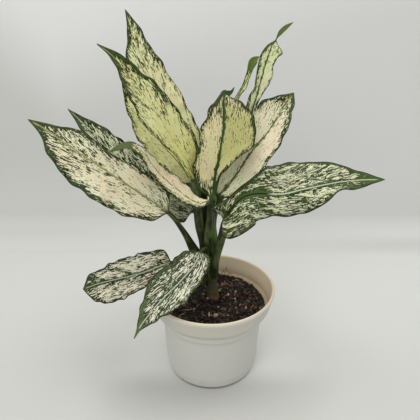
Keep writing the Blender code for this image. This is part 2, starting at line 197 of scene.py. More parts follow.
# Paler round the pot: painted light.
sheet_base = blend(between(pot_distance, 0.13, 0.05), sheet_base, (0.76, 0.76, 0.74))
# A painted shadow in front of the pot, and a darker painted contact shadow in a thin ring at the front of its
# foot.
painted_shadow_ring = 0.38 * between(pot_distance, 0.16, 0.052)
painted_contact_shadow = 0.75 * between(pot_distance, 0.0525, 0.0505)
painted_front_shadow = figure("MAXIMUM", painted_shadow_ring, painted_contact_shadow) * between(back, -0.015, -0.055)
sheet_base = blend(painted_front_shadow, sheet_base, (0.16, 0.145, 0.12))
# A painted glow high up on the left of the wall.
slant = figure("MINIMUM", -0.36 * across, 0.9 * across + 0.310)
painted_glow = between(height + slant, 0.26, 0.48)
put(blend(painted_glow, sheet_base, (0.77, 0.77, 0.75)), sheet_shader.inputs["Base Color"])
from_behind = node(sheet_tree, "NewGeometry", {})[6]
clear = node(sheet_tree, "BsdfTransparent", {})[0]
one_sided = node(sheet_tree, "MixShader", {0: from_behind, 1: Value(sheet_shader.outputs[0]), 2: clear})
put(one_sided[0], sheet_tree.nodes["Material Output"].inputs[0])

bend = np.radians(np.linspace(0.0, 90.0, 25))
curve_y = SWEEP_BACK - SWEEP_RADIUS + SWEEP_RADIUS * np.sin(bend)
sweep_y = np.concatenate([[SWEEP_FRONT], curve_y, [SWEEP_BACK]])
sweep_z = np.concatenate([[0.0], SWEEP_RADIUS * (1.0 - np.cos(bend)), [SWEEP_HEIGHT]])
sweep_x = np.array([-SWEEP_HALF_WIDTH, SWEEP_HALF_WIDTH])
grid_object("studio_sheet", stacked(sweep_x[:, None], sweep_y, sweep_z), sheet_finish)

world = bpy.data.worlds.new("Room")
world.use_nodes = True
world.node_tree.nodes["Background"].inputs[0].default_value = (0.97, 0.99, 1.0, 1.0)
world.node_tree.nodes["Background"].inputs[1].default_value = 0.725
scene.world = world


def lamp(name, place, aim, size, power, colour):
    """Square soft lamp at a place in metres, turned towards a point."""
    data = bpy.data.lights.new(name, "AREA")
    data.shape = "SQUARE"
    data.size = size
    data.energy = power
    data.color = colour
    made = bpy.data.objects.new(name, data)
    made.location = place
    direction = np.array(aim) - np.array(place)
    flat = math.hypot(direction[0], direction[1])
    made.rotation_euler = (math.atan2(flat, -direction[2]), 0.0, math.atan2(-direction[0], direction[1]))
    scene.collection.objects.link(made)


lamp("Overhead_lamp", (0.1, 0.14, 1.45), (0.0, 0.0, 0.1), 1.0, 9.6, (1.0, 0.985, 0.95))
lamp("Window", (-0.65, -1.25, 1.1), (0.0, 0.0, 0.2), 0.9, 6.5, (1.0, 0.99, 0.97))

# The pot: thin off-white plastic, injection moulded in one piece, with a deep collar, a rolled lip, a ring
# below the collar and drain holes in its floor. It has yellowed a little at the rim and inside. Its colour
# also
# holds painted light and shade: a painted highlight that pales the rim, painted shade low on the inside wall
# and painted light near its top, and two dark lines painted as shade under the ring's step and the collar.
POT_HEIGHT = 100.0
LIP_RADIUS = 69.0
LIP_WIDTH = 3.2
COLLAR_RADIUS = 64.5
COLLAR_BOTTOM = 79.0
NECK_RADIUS = 57.0
NECK_TOP = 72.0
RING_HEIGHT = 65.5
BODY_RADIUS = 54.5
BODY_TOP = 60.0
LOW_RADIUS = 52.5
LOW_HEIGHT = 12.0
FOOT_RADIUS = 50.0
POT_WALL = 2.2
POT_FLOOR = 2.4
POT_SIDES = 180
# Heights in metres of two dark lines painted as shade, under the ring's step and under the collar, and how
# dark each is.
PAINTED_SHADE_LINES = ((0.0652, 0.4), (0.0772, 0.3))
DRAIN_RING_RADIUS = 33.0
DRAIN_RADIUS = 4.0
DRAIN_COUNT = 6


def grain(vector, scale, detail=2.0, roughness=0.5):
    """Value of a Noise Texture, about 0.5 on average."""
    inputs = {"Vector": vector, "Scale": scale, "Detail": detail, "Roughness": roughness}
    return node(vector.tree, "TexNoise", inputs)[0]


def roughen(shader, height, strength, distance):
    """Bump on a shader's normal from a height, with the given strength and depth in metres."""
    inputs = {"Strength": strength, "Distance": distance, "Height": height}
    put(node(height.tree, "Bump", inputs)[0], shader.inputs["Normal"])


def rounded(outline, reach, steps=5):
    """Outline with each inner corner replaced by a curve.

    The curve leaves the outline a reach before the corner and joins it a reach after, at most 45% of an
    edge. A point on it at t is (1-t)^2 times its start, 2t(1-t) times the corner and t^2 times its end.
    """
    outline = np.asarray(outline, float)
    corner = outline[1:-1]
    to_last = outline[:-2] - corner
    to_next = outline[2:] - corner
    last_length = np.linalg.norm(to_last, axis=1)[:, None]
    next_length = np.linalg.norm(to_next, axis=1)[:, None]
    start = corner + to_last * np.minimum(reach / last_length, 0.45)
    end = corner + to_next * np.minimum(reach / next_length, 0.45)
    t = np.linspace(0.0, 1.0, steps)[None, :, None]
    curve = (1 - t) ** 2 * start[:, None] + 2 * t * (1 - t) * corner[:, None] + t**2 * end[:, None]
    return np.concatenate([outline[:1], curve.reshape(-1, 2), outline[-1:]])


def rings_round(radii, levels, sides):
    """Rings of points round the Z axis, with a radius and a height for each ring."""
    turn = np.linspace(0.0, 2 * math.pi, sides, endpoint=False)[None, :]
    radii, levels = np.asarray(radii)[:, None], np.asarray(levels)[:, None]
    return stacked(radii * np.cos(turn), radii * np.sin(turn), levels)


def turned_object(name, outline, sides, finish):
    """Surface that an outline of (radius, height) sweeps round the Z axis, closed at its two poles."""
    rings = rings_round(outline[1:-1, 0], outline[1:-1, 1], sides)
    poles = [(0.0, 0.0, outline[0, 1]), (0.0, 0.0, outline[-1, 1])]
    points = np.concatenate([rings.reshape(-1, 3), poles])
    first = np.arange(sides)
    last = first + (len(rings) - 1) * sides
    top = stacked(first, np.roll(first, -1), len(points) - 2)
    bottom = stacked(np.roll(last, -1), last, len(points) - 1)
    quads = grid_faces(len(rings), sides, ring=True)
    return mesh_object(name, points, quads.tolist() + top.tolist() + bottom.tolist(), finish)


def pot_inner_radius(level):
    """Inner radius of the pot's wall at a height."""
    levels = [0.0, LOW_HEIGHT, BODY_TOP, NECK_TOP, COLLAR_BOTTOM, POT_HEIGHT - 4.0, POT_HEIGHT]
    outer = [FOOT_RADIUS, LOW_RADIUS, BODY_RADIUS, NECK_RADIUS, COLLAR_RADIUS,
             LIP_RADIUS - 0.8, LIP_RADIUS - 0.6]
    return float(np.interp(level, levels, outer)) - POT_WALL


plastic, plastic_tree, plastic_shader = new_material("Pot_plastic", 0.42)
pot_place, pot_x, pot_y, pot_z = object_place(plastic_tree)
ragged_height = pot_z + 0.012 * grain(pot_place, 14.0, 3.0)
body_colour = blend(between(ragged_height, 0.068, 0.09), (0.565, 0.56, 0.515), (0.55, 0.53, 0.46))
# Paler and warmer at the rim: yellowed plastic with a painted highlight on the lip.
colour_and_rim_highlight = blend(between(ragged_height, 0.0975, 0.105), body_colour, (0.64, 0.59, 0.50))
speckle = between(grain(pot_place, 160.0, 3.0, 0.65), 0.60, 0.74)
dust_and_shade_lines = blend(0.2 * speckle, colour_and_rim_highlight, (0.40, 0.36, 0.27))
# Two dark lines painted as shade, under the ring's step and under the collar.
for shade_line_height, shade_line_share in PAINTED_SHADE_LINES:
    shade_line = between(figure("ABSOLUTE", pot_z - shade_line_height), 0.0011, 0.0004)
    dust_and_shade_lines = blend(shade_line_share * shade_line, dust_and_shade_lines, (0.32, 0.31, 0.29))
wall_middle = figure("MINIMUM", 0.236 * pot_z + 0.0443, 1.071 * pot_z - 0.0212)
wall_depth = figure("SQRT", pot_x * pot_x + pot_y * pot_y) - wall_middle
# The inside is tan stained plastic, painted darker low down as shade and lighter near the top as painted
# light.
inside_stain_and_shade = blend(between(ragged_height, 0.080, 0.096), (0.46, 0.34, 0.20), (0.80, 0.67, 0.48))
pot_colour = blend(between(wall_depth, 0.0004, -0.0004), dust_and_shade_lines, inside_stain_and_shade)
put(pot_colour, plastic_shader.inputs["Base Color"])
put(0.36 + 0.16 * grain(pot_place, 60.0, 3.0), plastic_shader.inputs["Roughness"])
roughen(plastic_shader, grain(pot_place, 420.0, 3.0), 0.12, 0.0004)

pot_inside = [(0.0, POT_FLOOR), (pot_inner_radius(0.0) - 2.0, POT_FLOOR)]
for z in (POT_FLOOR + 3.0, BODY_TOP, NECK_TOP, COLLAR_BOTTOM - 1.0):
    pot_inside.append((pot_inner_radius(z), z))
pot_inside += [(pot_inner_radius(COLLAR_BOTTOM) + 0.4, COLLAR_BOTTOM),
               (LIP_RADIUS - LIP_WIDTH - 0.6, POT_HEIGHT - 5.0), (LIP_RADIUS - LIP_WIDTH, POT_HEIGHT - 1.2)]
pot_edge = [(LIP_RADIUS - LIP_WIDTH + 1.0, POT_HEIGHT), (LIP_RADIUS - 1.1, POT_HEIGHT),
            (LIP_RADIUS, POT_HEIGHT - 1.2)]
pot_outside = [(LIP_RADIUS - 0.2, POT_HEIGHT - 4.0), (LIP_RADIUS - 1.2, POT_HEIGHT - 5.5),
               (COLLAR_RADIUS, COLLAR_BOTTOM + 1.5), (COLLAR_RADIUS - 1.2, COLLAR_BOTTOM),
               (NECK_RADIUS + 0.8, NECK_TOP), (NECK_RADIUS + 0.3, RING_HEIGHT + 0.7),
               (NECK_RADIUS - 0.9, RING_HEIGHT), (BODY_RADIUS, BODY_TOP),
               (LOW_RADIUS, LOW_HEIGHT), (FOOT_RADIUS + 0.7, 2.2), (FOOT_RADIUS, 1.1),
               (FOOT_RADIUS - 3.0, 0.9), (FOOT_RADIUS - 4.0, 0.0), (0.0, 0.0)]
pot = turned_object("nursery_pot", rounded(pot_inside + pot_edge + pot_outside, 1.0), POT_SIDES, plastic)
drains = []
for k in range(DRAIN_COUNT):
    angle = 2 * math.pi * (k + 0.5) / DRAIN_COUNT
    x, y = DRAIN_RING_RADIUS * math.cos(angle), DRAIN_RING_RADIUS * math.sin(angle)
    bpy.ops.mesh.primitive_cylinder_add(vertices=40, radius=DRAIN_RADIUS * MM, depth=4 * POT_FLOOR * MM,
                                        location=(x * MM, y * MM, POT_FLOOR / 2 * MM))
    drains.append(bpy.context.object)
    hole = pot.modifiers.new("Drain", "BOOLEAN")
    hole.object = drains[-1]
bpy.context.view_layer.update()
drilled = bpy.data.meshes.new_from_object(pot.evaluated_get(bpy.context.evaluated_depsgraph_get()))
pot.modifiers.clear()
pot.data = drilled
pot.data.set_sharp_from_angle(angle=math.radians(50.0))
for drain in drains:
    bpy.data.objects.remove(drain, do_unlink=True)
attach(pot, "root")
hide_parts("pot")

# The potting mix: dark peat and coir with bark chips, dry fibres and a few green bits, poured loose and
# sunk a little at the pot's wall. The crumbs and the fibres lie on one relief.
SOIL_LEVEL = 77.5
SOIL_MOUND = 2.5
SOIL_GAP = 0.3
SOIL_SIDES = 200
SOIL_RINGS = 90
SOIL_RELIEF = ((1.4, 9.0, 3), (1.1, 4.0, 4), (0.4, 1.8, 5))
CANE_HOLE_RADIUS = 7.6
CANE_FOOT_X = 1.5
CANE_FOOT_Y = 8.0
CRUMBS = 3300
CRUMB_LIMIT = 4.8
CHIP_PLACE = (4.4, -26.5)
CHIP_HALF = (6.5, 2.8, 2.4)
CHIP_TONE = 0.92
FIBRES = 70
FIBRE_HALF_THICK = 0.6
CURLS = [(14.0, 43.0, 3.0, 13.0), (18.0, 45.0, 2.4, 16.0), (22.5, 46.0, 3.2, 9.0), (11.0, 40.0, 4.0, 7.0),
         (26.0, 42.0, 4.0, 6.0)]
CURL_TONE = 0.65


def lattice(x, y, cell, seed):
    """Random height from -1 to 1 over the ground: random values at the corners of square cells, blended
    from corner to corner by the curve 3t^2 - 2t^3 in both directions."""
    values = np.random.default_rng(seed).uniform(-1.0, 1.0, (64, 64))
    column, row = np.floor(x / cell).astype(int), np.floor(y / cell).astype(int)
    s, t = x / cell - column, y / cell - row
    s, t = s * s * (3 - 2 * s), t * t * (3 - 2 * t)
    west = values[row % 64, column % 64] * (1 - t) + values[(row + 1) % 64, column % 64] * t
    east = values[row % 64, (column + 1) % 64] * (1 - t) + values[(row + 1) % 64, (column + 1) % 64] * t
    return west * (1 - s) + east * s


soil_radius = pot_inner_radius(SOIL_LEVEL) - 2 * SOIL_GAP


def soil_height(x, y):
    """Top of the potting mix: a low mound, plus relief in three sizes, less a dip along the wall.

    A size of relief is given as its height, the side of its cells and its seed.
    """
    inward = 1.0 - np.minimum(1.0, np.hypot(x, y) / soil_radius)
    relief = sum(lift * lattice(x, y, cell, seed) for lift, cell, seed in SOIL_RELIEF)
    mound = SOIL_LEVEL - 1.2 + SOIL_MOUND * (1.0 - (1.0 - inward) ** 2)
    return mound + relief * np.minimum(1.0, inward * 8.0)


earth, earth_tree, earth_shader = new_material("Potting_mix", 0.9)
earth_place = object_place(earth_tree)[0]
clump = grain(earth_place, 190.0, 4.0, 0.6)
earth_colour = blend(between(clump, 0.38, 0.62), (0.002, 0.0012, 0.001), (0.016, 0.010, 0.007))
light_bits = between(grain(earth_place, 420.0), 0.66, 0.74)
put(blend(light_bits, earth_colour, (0.20, 0.12, 0.08)), earth_shader.inputs["Base Color"])
roughen(earth_shader, grain(earth_place, 300.0, 4.0, 0.65), 0.8, 0.0008)

reach = soil_radius * np.linspace(0.0, 1.0, SOIL_RINGS)[1:]
soil_top = rings_round(reach, 0.0 * reach, SOIL_SIDES)
soil_top[..., 2] = soil_height(soil_top[..., 0], soil_top[..., 1])
side_z = [NECK_TOP, BODY_TOP, POT_FLOOR + 3.0, POT_FLOOR + SOIL_GAP, POT_FLOOR + SOIL_GAP]
side_radii = [pot_inner_radius(z) - 2 * SOIL_GAP for z in side_z[:3]] + [pot_inner_radius(0.0) - 2.6, 1.0]
soil_rings = np.concatenate([soil_top, rings_round(side_radii, side_z, SOIL_SIDES)])
soil = grid_object("potting_mix", soil_rings, earth, ring=True)
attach(soil, "root")
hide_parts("soil")


def attribute(tree, name):
    """Outputs of an Attribute node: colour, vector, factor and alpha."""
    return node(tree, "Attribute", {}, attribute_name=name)


crumb_finish, crumb_tree, crumb_shader = new_material("Potting_mix_crumbs", 0.42)
crumb_shader.inputs["Specular IOR Level"].default_value = 0.25
crumb_ramp = crumb_tree.nodes.new("ShaderNodeValToRGB")
crumb_ramp.color_ramp.interpolation = "CONSTANT"
crumb_shades = [(0.0, (0.003, 0.0015, 0.001)), (0.38, (0.009, 0.005, 0.003)), (0.62, (0.030, 0.014, 0.008)),
                (0.78, (0.13, 0.068, 0.045)), (0.85, (0.23, 0.11, 0.07)), (0.888, (0.50, 0.38, 0.27)),
                (0.94, (0.075, 0.10, 0.030)), (0.98, (0.62, 0.52, 0.42))]
crumb_ramp.color_ramp.elements.remove(crumb_ramp.color_ramp.elements[1])
for tone, shade in crumb_shades[1:]:
    crumb_ramp.color_ramp.elements.new(tone).color = (*shade, 1.0)
crumb_ramp.color_ramp.elements[0].color = (*crumb_shades[0][1], 1.0)
put(attribute(crumb_tree, "tone")[2], crumb_ramp.inputs[0])
crumb_worn = between(grain(object_place(crumb_tree)[0], 500.0, 3.0), 0.35, 0.75)
crumb_colour = blend(0.3 * crumb_worn, Value(crumb_ramp.outputs[0]), (0.075, 0.050, 0.034))
put(crumb_colour, crumb_shader.inputs["Base Color"])


def scattered(count, inset, rng):
    """Random places on the soil, as x and y, at least an inset away from its edge."""
    reach = np.sqrt(rng.uniform(0.0, 1.0, count)) * (soil_radius - inset)
    angle = rng.uniform(0.0, 2 * math.pi, count)
    return reach * np.cos(angle), reach * np.sin(angle)


def clear_of_cane(x, y, gap):
    """True where a place on the soil is more than a gap away from the cane's hole."""
    return np.hypot(x - CANE_FOOT_X, y - CANE_FOOT_Y) > CANE_HOLE_RADIUS + gap


def bits_object(name, points, faces, tones):
    """Object of many small bits: an array of points for each bit, the faces of one bit and a tone each."""
    count, corners = points.shape[:2]
    every = faces[None] + corners * np.arange(count)[:, None, None]
    made = mesh_object(name, points.reshape(-1, 3), every.reshape(-1, faces.shape[1]).tolist(), crumb_finish)
    shades = np.repeat(tones, corners)
    made.data.attributes.new("tone", "FLOAT", "POINT").data.foreach_set("value", shades)
    return made


def crumb_bits(count, rng):
    """Points, faces and tones of faceted lumps, each an icosahedron, stretched, turned and laid on the soil.

    A corner is its direction times a random length from 0.7 to 1.2, times the lump's three half sizes,
    turned by a random yaw and a small random tilt. The first lump is one large pale bark chip.
    """
    golden = (1 + math.sqrt(5)) / 2
    corners = np.array([(-1, golden, 0), (1, golden, 0), (-1, -golden, 0), (1, -golden, 0)])
    corners = np.concatenate([np.roll(corners, k, axis=1) for k in range(3)])
    corners = corners / np.linalg.norm(corners[0])
    faces = np.array([(0, 11, 5), (0, 5, 1), (0, 1, 7), (0, 7, 10), (0, 10, 11), (1, 5, 9), (5, 11, 4),
                      (11, 10, 2), (10, 7, 6), (7, 1, 8), (3, 9, 4), (3, 4, 2), (3, 2, 6), (3, 6, 8),
                      (3, 8, 9), (4, 9, 5), (2, 4, 11), (6, 2, 10), (8, 6, 7), (9, 8, 1)])
    tones = rng.uniform(0.0, 1.0, count)
    tones[0] = CHIP_TONE
    size = np.exp(rng.normal(0.0, 0.45, count)) * np.where(tones > 0.9, 0.5, 1.0)
    half = stacked(2.0 * size * rng.uniform(0.8, 1.9, count), 1.1 * size * rng.uniform(0.6, 1.1, count),
                   0.75 * size * rng.uniform(0.5, 1.1, count))
    half = np.minimum(half, CRUMB_LIMIT)
    half[0] = CHIP_HALF
    body = corners[None] * rng.uniform(0.7, 1.2, (count, 12, 1)) * half[:, None, :]
    yaw, tilt = rng.uniform(0.0, 2 * math.pi, count)[:, None], rng.normal(0.0, 0.45, count)[:, None]
    x, y, z = body[..., 0], body[..., 1], body[..., 2]
    x, z = x * np.cos(tilt) - z * np.sin(tilt), x * np.sin(tilt) + z * np.cos(tilt)
    x, y = x * np.cos(yaw) - y * np.sin(yaw), x * np.sin(yaw) + y * np.cos(yaw)
    at_x, at_y = scattered(count, 1.2, rng)
    at_x[0], at_y[0] = CHIP_PLACE
    at_z = soil_height(at_x, at_y) + 0.5 * half[:, 2]
    points = stacked(x + at_x[:, None], y + at_y[:, None], z + at_z[:, None])
    within = np.hypot(points[..., 0], points[..., 1]).max(axis=1) < soil_radius
    kept = clear_of_cane(at_x, at_y, 0.5) & within
    return points[kept], faces, tones[kept]


crumbs = bits_object("potting_mix_crumbs", *crumb_bits(CRUMBS, np.random.default_rng(11)))
crumbs.data.shade_flat()
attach(crumbs, "root")


def fibre_bits(count, rng):
    """Points, faces and tones of thin dry roots, each a bow of nine rings of four points on the crumbs.

    A point at s from -1 to 1 stands half length * s along, bend * half length * s^2 across and
    lift * (1 - s^2) above the mix. The first ones stand at CURLS, given as x, y, half length and lift.
    """
    s = np.linspace(-1.0, 1.0, 9)[None, :]
    at_x, at_y = scattered(count, 9.0, rng)
    yaw = rng.uniform(0.0, math.pi, count)
    half, lift, bend = rng.uniform(3.0, 7.0, count), rng.uniform(0.2, 1.2, count), rng.normal(0.0, 0.4, count)
    tones = rng.uniform(0.62, 0.93, count)
    first = len(CURLS)
    at_x[:first], at_y[:first], half[:first], lift[:first] = np.array(CURLS).T
    yaw[:first] = 0.3
    tones[:first] = CURL_TONE
    kept = clear_of_cane(at_x, at_y, 6.0)
    parts = (at_x, at_y, half, lift, bend, yaw)
    at_x, at_y, half, lift, bend, yaw = (part[kept][:, None] for part in parts)
    x = at_x + half * (s * np.cos(yaw) - bend * s**2 * np.sin(yaw))
    y = at_y + half * (s * np.sin(yaw) + bend * s**2 * np.cos(yaw))
    z = soil_height(x, y) + 1.0 + lift * (1.0 - s**2)
    thick = FIBRE_HALF_THICK * (1.0 - 0.5 * s**2)[..., None]
    corner = np.radians([0.0, 90.0, 180.0, 270.0])[None, None, :]
    level = thick * np.cos(corner)
    yaw = yaw[..., None]
    rings = stacked(x[..., None] - level * np.sin(yaw), y[..., None] + level * np.cos(yaw),
                    z[..., None] + thick * np.sin(corner))
    k, c = np.arange(8)[:, None], np.arange(4)[None, :]
    side = (c + 1) % 4
    sides = stacked(4 * k + c, 4 * k + side, 4 * k + 4 + side, 4 * k + 4 + c)
    faces = np.concatenate([sides.reshape(-1, 4), [[3, 2, 1, 0], [32, 33, 34, 35]]])
    return rings.reshape(len(x), 36, 3), faces, tones[kept]


fibres = bits_object("potting_mix_fibres", *fibre_bits(FIBRES, np.random.default_rng(5)))
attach(fibres, "root")

# The cane: one upright green stem, smooth, ringed where old leaves fell, brown and reddish at the soil.
# It stands in the mix and carries all the leaves.
CANE_FOOT = 42.0
CANE_TOP = 152.0
CANE_SIDES = 48
CANE_POINTS = [(1.5, 8.0, 42.0), (1.5, 8.0, 80.0), (0.8, 8.0, 100.0), (0.0, 8.0, 120.0),
               (-2.2, 7.6, 138.0), (-4.0, 7.5, 152.0)]
CANE_SCARS = np.arange(88.0, 122.0, 7.5)
CANE_SCAR_HEIGHT = 0.4


def through(stations, values, u):
    """Cubic curve through the values at the stations, with each slope taken from its neighbours."""
    values = np.asarray(values, float)
    slopes = np.gradient(values, stations, axis=0)
    span = np.clip(np.searchsorted(stations, u, side="right") - 1, 0, len(stations) - 2)
    step = stations[span + 1] - stations[span]
    t = (u - stations[span]) / step
    if values.ndim > 1:
        step = step[:, None]
        t = t[:, None]
    start = (2 * t**3 - 3 * t**2 + 1) * values[span] + (t**3 - 2 * t**2 + t) * step * slopes[span]
    end = (3 * t**2 - 2 * t**3) * values[span + 1] + (t**3 - t**2) * step * slopes[span + 1]
    return start + end


def cane_axis(levels):
    """Centre of the cane at each height."""
    points = np.array(CANE_POINTS)
    return through(points[:, 2], points, np.atleast_1d(levels))


def cane_radius(level):
    """Radius of the cane, which is thickest in the soil and slimmest at the top."""
    return np.interp(level, [80.0, 96.0, 120.0, CANE_TOP], [7.0, 5.2, 4.6, 3.4])


bark, bark_tree, bark_shader = new_material("Green_cane", 0.5)
bark_place, _, _, bark_z = object_place(bark_tree)
uneven_z = bark_z + 0.008 * grain(bark_place, 110.0, 4.0)
bark_low = blend(between(uneven_z, 0.084, 0.091), (0.21, 0.10, 0.06), (0.075, 0.075, 0.03))
bark_all = blend(between(uneven_z, 0.092, 0.112), bark_low, (0.040, 0.062, 0.018))
bark_spots = between(grain(bark_place, 380.0, 3.0), 0.58, 0.72)
put(blend(0.5 * bark_spots, bark_all, (0.20, 0.16, 0.09)), bark_shader.inputs["Base Color"])

levels = np.concatenate([np.linspace(CANE_FOOT, 84.0, 20), np.linspace(84.5, CANE_TOP, 136)])
scars = np.exp(-((levels[:, None] - CANE_SCARS[None, :]) / 0.7) ** 2).sum(axis=1) * CANE_SCAR_HEIGHT
turn = np.linspace(0.0, 2 * math.pi, CANE_SIDES, endpoint=False)[None, :]
reach = (cane_radius(levels) + scars)[:, None] * (1.0 + 0.02 * np.sin(3 * turn + levels[:, None] / 9.0))
cane_rings = cane_axis(levels)[:, None, :] + stacked(reach * np.cos(turn), reach * np.sin(turn), 0.0)
cane = grid_object("cane", cane_rings[::-1], bark, ring=True)
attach(cane, "root")
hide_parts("cane")

# The leaves: each is a fleshy stalk that opens into a thin folded blade, grown in one piece, with a midrib
# raised on its underside and flecks that follow its side veins. This section holds what all thirteen share.
# The attributes that their materials read are in centimetres.
GAP = 0.3
BLADE_THICKNESS = 0.6
RIB_DEPTH = 1.5
RIB_REACH = 2.2
GROOVE_DEPTH = 0.25
GROOVE_REACH = 0.9
QUILT_DEPTH = 0.14
QUILT_SPACING = 7.5
TIP_HALF_WIDTH = 0.35
STALK_ROWS = 26
BLADE_ROWS = 170
HALF_COLUMNS = 17
HALF_WIDTH_AT = np.array([0.0, 0.25, 0.5, 0.75, 0.92, 1.0])
OPENING = 0.10
VEIN_SLOPE = 1.8
VEIN_BEND = 0.10
CM = 0.1
DARK_GREEN = (0.008, 0.014, 0.001)
WASH = (0.36, 0.42, 0.15)
UNDERSIDE = (0.26, 0.34, 0.20)


def along(values, u):
    """Values given at even steps from the blade's base to its tip, or one number for all of it, at u."""
    if np.ndim(values) == 0:
        return np.full(len(u), float(values))
    return through(np.linspace(0.0, 1.0, len(values)), values, np.clip(u, 0.0, 1.0))


def seat(level, azimuth, stalk):
    """Foot of a leaf stalk of the given radius, just clear of the cane."""
    reach = cane_radius(level) + GAP + stalk
    angle = math.radians(azimuth)
    return cane_axis(level)[0] + reach * np.array([math.cos(angle), math.sin(angle), 0.0])


def leaf_path(stalk, rib):
    """Centres, directions and blade fractions of the rows, and the blade's length, on one curve through
    the points of the stalk and the midrib. The rows are closer together at the blade's base."""
    points = np.array([tuple(point) for point in stalk + rib], float)
    lengths = np.concatenate([[0.0], np.cumsum(np.linalg.norm(np.diff(points, axis=0), axis=1))])
    start, end = lengths[len(stalk)], lengths[-1]
    blade = start + (end - start) * np.linspace(0.0, 1.0, BLADE_ROWS) ** 1.15
    reach = np.concatenate([np.linspace(0.0, start, STALK_ROWS, endpoint=False), blade])
    forward = through(lengths, points, np.minimum(reach + 0.5, end))
    forward = forward - through(lengths, points, np.maximum(reach - 0.5, 0.0))
    forward /= np.linalg.norm(forward, axis=1)[:, None]
    return through(lengths, points, reach), forward, (reach - start) / (end - start), end - start


def leaf_frame(forward, faces, u):
    """Directions of the upper face and of the left margin at each row.

    A facing is (azimuth, elevation) in degrees: azimuth 0 looks to the front and 90 to the right.
    """
    azimuth = np.radians(along([face[0] for face in faces], u))
    elevation = np.radians(along([face[1] for face in faces], u))
    facing = stacked(np.cos(elevation) * np.sin(azimuth), -np.cos(elevation) * np.cos(azimuth),
                     np.sin(elevation))
    normal = facing - (facing * forward).sum(axis=1)[:, None] * forward
    normal /= np.linalg.norm(normal, axis=1)[:, None]
    return normal, np.cross(normal, forward)


def base_rounding(u):
    """Quarter circle that rises from 0 at the blade's base to 1 a tenth of the way along it."""
    return np.sqrt(1.0 - (1.0 - np.clip(u / OPENING, 0.0, 1.0)) ** 2)


def half_width(widths, u):
    """Half width of one side: a curve through the given widths, rounded off at the blade's base.

    Five widths stand at the stations in HALF_WIDTH_AT, and more of them at even steps.
    """
    stations = HALF_WIDTH_AT if len(widths) == 5 else np.linspace(0.0, 1.0, len(widths) + 1)
    width = through(stations, list(widths) + [TIP_HALF_WIDTH], np.clip(u, 0.0, 1.0))
    return np.maximum(width * base_rounding(u), TIP_HALF_WIDTH)


